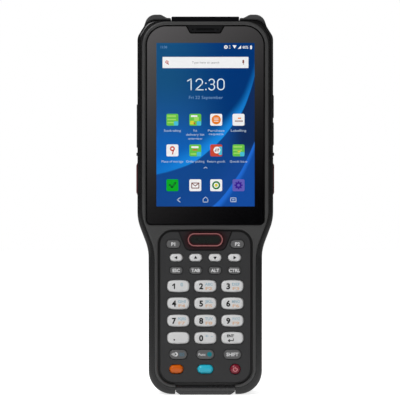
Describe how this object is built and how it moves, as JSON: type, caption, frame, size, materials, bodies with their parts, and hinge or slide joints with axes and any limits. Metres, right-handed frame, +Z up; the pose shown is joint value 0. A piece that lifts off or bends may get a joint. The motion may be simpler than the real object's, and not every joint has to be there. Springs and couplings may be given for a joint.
{
  "type": "handheld barcode data terminal",
  "caption": "Handheld barcode data terminal with a portrait touch screen, a scan window in the top end, a keypad handle, side scan keys and a battery door at the back.",
  "frame": {"origin": "centre of the flat foot face of the dock block, the lowest face, on which the terminal stands upright", "axes": "+X to the user's right when looking at the screen, +Y from the screen to the battery door, +Z upwards along the terminal's length"},
  "size_m": [0.0738, 0.0286, 0.2013],
  "materials": {
    "rear_shell": "fine texture, satin",
    "front_shell": "fine texture, satin",
    "guard": "soft-touch, satin",
    "window_frame": "satin",
    "seal": "silicone",
    "cover_glass": "polished, black printed border",
    "scan_glass": "polished, dark red tint",
    "screen": "lit picture",
    "earpiece_cover": "satin, with the slot of the earpiece",
    "keypad_face": "fine texture",
    "scan_bezel": "satin, dark red",
    "key_red_dark": "satin",
    "key_light": "satin",
    "key_grey": "satin",
    "key_orange": "satin",
    "key_blue": "satin",
    "key_red": "satin",
    "side_key": "satin, dark red",
    "steel": "nickel plated",
    "gold": "gold plated",
    "board": "solder mask",
    "module": "black",
    "battery": "satin"
  },
  "bodies": {
    "casing": {"battery": "battery", "camera_module": "module", "camera_window": "cover_glass", "corner_guard_left": "guard", "corner_guard_right": "guard", "display_glass": "cover_glass", "dock_block": "rear_shell", "dock_contacts": "gold", "earpiece": "earpiece_cover", "front_housing": "front_shell", "housing_gasket": "seal", "housing_screws": "steel", "key_mat": "seal", "keypad_board": "board", "keypad_panel": "keypad_face", "lcd_panel": "screen", "loudspeaker": "module", "main_board": "board", "port_lid_pin": "steel", "rear_housing": "rear_shell", "scan_engine": "module", "scan_key_bezel": "scan_bezel", "scan_window": "scan_glass", "scan_window_frame": "window_frame", "usb_socket": "steel"},
    "key_0": {"key_0": "key_light"},
    "key_1": {"key_1": "key_light"},
    "key_2": {"key_2": "key_light"},
    "key_3": {"key_3": "key_light"},
    "key_4": {"key_4": "key_light"},
    "key_5": {"key_5": "key_light"},
    "key_6": {"key_6": "key_light"},
    "key_7": {"key_7": "key_light"},
    "key_8": {"key_8": "key_light"},
    "key_9": {"key_9": "key_light"},
    "key_alt": {"key_alt": "key_grey"},
    "key_back": {"key_back": "key_grey"},
    "key_blue": {"key_blue": "key_blue"},
    "key_ctrl": {"key_ctrl": "key_grey"},
    "key_down": {"key_down": "key_light"},
    "key_enter": {"key_enter": "key_light"},
    "key_esc": {"key_esc": "key_grey"},
    "key_function": {"key_function": "key_grey"},
    "key_left": {"key_left": "key_light"},
    "key_orange": {"key_orange": "key_orange"},
    "key_p1": {"key_p1": "key_grey"},
    "key_p2": {"key_p2": "key_grey"},
    "key_point": {"key_point": "key_light"},
    "key_power": {"key_power": "key_red"},
    "key_right": {"key_right": "key_light"},
    "key_scan": {"key_scan": "key_red_dark"},
    "key_shift": {"key_shift": "key_grey"},
    "key_tab": {"key_tab": "key_grey"},
    "key_up": {"key_up": "key_light"},
    "side_key_left": {"side_key_left": "side_key"},
    "side_key_right": {"side_key_right": "side_key"},
    "volume_rocker": {"volume_rocker": "rear_shell"},
    "port_lid": {"port_lid": "rear_shell"},
    "battery_door": {"battery_door": "rear_shell"},
    "door_latch": {"door_latch": "rear_shell"}
  },
  "joints": [
    {"name": "key_0_press", "type": "slide", "parent": "casing", "child": "key_0", "axis": [0, 1, 0], "range_m": [0, 0.0008], "stiffness_N_per_m": 800, "springref_m": -0.0003},
    {"name": "key_1_press", "type": "slide", "parent": "casing", "child": "key_1", "axis": [0, 1, 0], "range_m": [0, 0.0008], "stiffness_N_per_m": 800, "springref_m": -0.0003},
    {"name": "key_2_press", "type": "slide", "parent": "casing", "child": "key_2", "axis": [0, 1, 0], "range_m": [0, 0.0008], "stiffness_N_per_m": 800, "springref_m": -0.0003},
    {"name": "key_3_press", "type": "slide", "parent": "casing", "child": "key_3", "axis": [0, 1, 0], "range_m": [0, 0.0008], "stiffness_N_per_m": 800, "springref_m": -0.0003},
    {"name": "key_4_press", "type": "slide", "parent": "casing", "child": "key_4", "axis": [0, 1, 0], "range_m": [0, 0.0008], "stiffness_N_per_m": 800, "springref_m": -0.0003},
    {"name": "key_5_press", "type": "slide", "parent": "casing", "child": "key_5", "axis": [0, 1, 0], "range_m": [0, 0.0008], "stiffness_N_per_m": 800, "springref_m": -0.0003},
    {"name": "key_6_press", "type": "slide", "parent": "casing", "child": "key_6", "axis": [0, 1, 0], "range_m": [0, 0.0008], "stiffness_N_per_m": 800, "springref_m": -0.0003},
    {"name": "key_7_press", "type": "slide", "parent": "casing", "child": "key_7", "axis": [0, 1, 0], "range_m": [0, 0.0008], "stiffness_N_per_m": 800, "springref_m": -0.0003},
    {"name": "key_8_press", "type": "slide", "parent": "casing", "child": "key_8", "axis": [0, 1, 0], "range_m": [0, 0.0008], "stiffness_N_per_m": 800, "springref_m": -0.0003},
    {"name": "key_9_press", "type": "slide", "parent": "casing", "child": "key_9", "axis": [0, 1, 0], "range_m": [0, 0.0008], "stiffness_N_per_m": 800, "springref_m": -0.0003},
    {"name": "key_alt_press", "type": "slide", "parent": "casing", "child": "key_alt", "axis": [0, 1, 0], "range_m": [0, 0.0008], "stiffness_N_per_m": 800, "springref_m": -0.0003},
    {"name": "key_back_press", "type": "slide", "parent": "casing", "child": "key_back", "axis": [0, 1, 0], "range_m": [0, 0.0008], "stiffness_N_per_m": 800, "springref_m": -0.0003},
    {"name": "key_blue_press", "type": "slide", "parent": "casing", "child": "key_blue", "axis": [0, 1, 0], "range_m": [0, 0.0008], "stiffness_N_per_m": 800, "springref_m": -0.0003},
    {"name": "key_ctrl_press", "type": "slide", "parent": "casing", "child": "key_ctrl", "axis": [0, 1, 0], "range_m": [0, 0.0008], "stiffness_N_per_m": 800, "springref_m": -0.0003},
    {"name": "key_down_press", "type": "slide", "parent": "casing", "child": "key_down", "axis": [0, 1, 0], "range_m": [0, 0.0008], "stiffness_N_per_m": 800, "springref_m": -0.0003},
    {"name": "key_enter_press", "type": "slide", "parent": "casing", "child": "key_enter", "axis": [0, 1, 0], "range_m": [0, 0.0008], "stiffness_N_per_m": 800, "springref_m": -0.0003},
    {"name": "key_esc_press", "type": "slide", "parent": "casing", "child": "key_esc", "axis": [0, 1, 0], "range_m": [0, 0.0008], "stiffness_N_per_m": 800, "springref_m": -0.0003},
    {"name": "key_function_press", "type": "slide", "parent": "casing", "child": "key_function", "axis": [0, 1, 0], "range_m": [0, 0.0008], "stiffness_N_per_m": 800, "springref_m": -0.0003},
    {"name": "key_left_press", "type": "slide", "parent": "casing", "child": "key_left", "axis": [0, 1, 0], "range_m": [0, 0.0008], "stiffness_N_per_m": 800, "springref_m": -0.0003},
    {"name": "key_orange_press", "type": "slide", "parent": "casing", "child": "key_orange", "axis": [0, 1, 0], "range_m": [0, 0.0008], "stiffness_N_per_m": 800, "springref_m": -0.0003},
    {"name": "key_p1_press", "type": "slide", "parent": "casing", "child": "key_p1", "axis": [0, 1, 0], "range_m": [0, 0.0008], "stiffness_N_per_m": 800, "springref_m": -0.0003},
    {"name": "key_p2_press", "type": "slide", "parent": "casing", "child": "key_p2", "axis": [0, 1, 0], "range_m": [0, 0.0008], "stiffness_N_per_m": 800, "springref_m": -0.0003},
    {"name": "key_point_press", "type": "slide", "parent": "casing", "child": "key_point", "axis": [0, 1, 0], "range_m": [0, 0.0008], "stiffness_N_per_m": 800, "springref_m": -0.0003},
    {"name": "key_power_press", "type": "slide", "parent": "casing", "child": "key_power", "axis": [0, 1, 0], "range_m": [0, 0.0008], "stiffness_N_per_m": 800, "springref_m": -0.0003},
    {"name": "key_right_press", "type": "slide", "parent": "casing", "child": "key_right", "axis": [0, 1, 0], "range_m": [0, 0.0008], "stiffness_N_per_m": 800, "springref_m": -0.0003},
    {"name": "key_scan_press", "type": "slide", "parent": "casing", "child": "key_scan", "axis": [0, 1, 0], "range_m": [0, 0.0008], "stiffness_N_per_m": 800, "springref_m": -0.0003},
    {"name": "key_shift_press", "type": "slide", "parent": "casing", "child": "key_shift", "axis": [0, 1, 0], "range_m": [0, 0.0008], "stiffness_N_per_m": 800, "springref_m": -0.0003},
    {"name": "key_tab_press", "type": "slide", "parent": "casing", "child": "key_tab", "axis": [0, 1, 0], "range_m": [0, 0.0008], "stiffness_N_per_m": 800, "springref_m": -0.0003},
    {"name": "key_up_press", "type": "slide", "parent": "casing", "child": "key_up", "axis": [0, 1, 0], "range_m": [0, 0.0008], "stiffness_N_per_m": 800, "springref_m": -0.0003},
    {"name": "side_key_left_press", "type": "slide", "parent": "casing", "child": "side_key_left", "axis": [1, 0, 0], "range_m": [0, 0.0008], "stiffness_N_per_m": 900, "springref_m": -0.0003},
    {"name": "side_key_right_press", "type": "slide", "parent": "casing", "child": "side_key_right", "axis": [-1, 0, 0], "range_m": [0, 0.0008], "stiffness_N_per_m": 900, "springref_m": -0.0003},
    {"name": "volume_rocker_tilt", "type": "hinge", "parent": "casing", "child": "volume_rocker", "pos_m": [0.03525, -0.003, 0.1457], "axis": [0, 1, 0], "range_deg": [-2, 2], "stiffness_Nm_per_rad": 0.3},
    {"name": "port_lid_hinge", "type": "hinge", "parent": "casing", "child": "port_lid", "pos_m": [-0.03525, 0.0006, 0.14255], "axis": [0, 0, -1], "range_deg": [0, 100]},
    {"name": "battery_door_hinge", "type": "hinge", "parent": "casing", "child": "battery_door", "pos_m": [0, 0.0131, 0.0129], "axis": [-1, 0, 0], "range_deg": [0, 75]},
    {"name": "door_latch_slide", "type": "slide", "parent": "battery_door", "child": "door_latch", "axis": [0, 0, 1], "range_m": [0, 0.0018]}
  ]
}
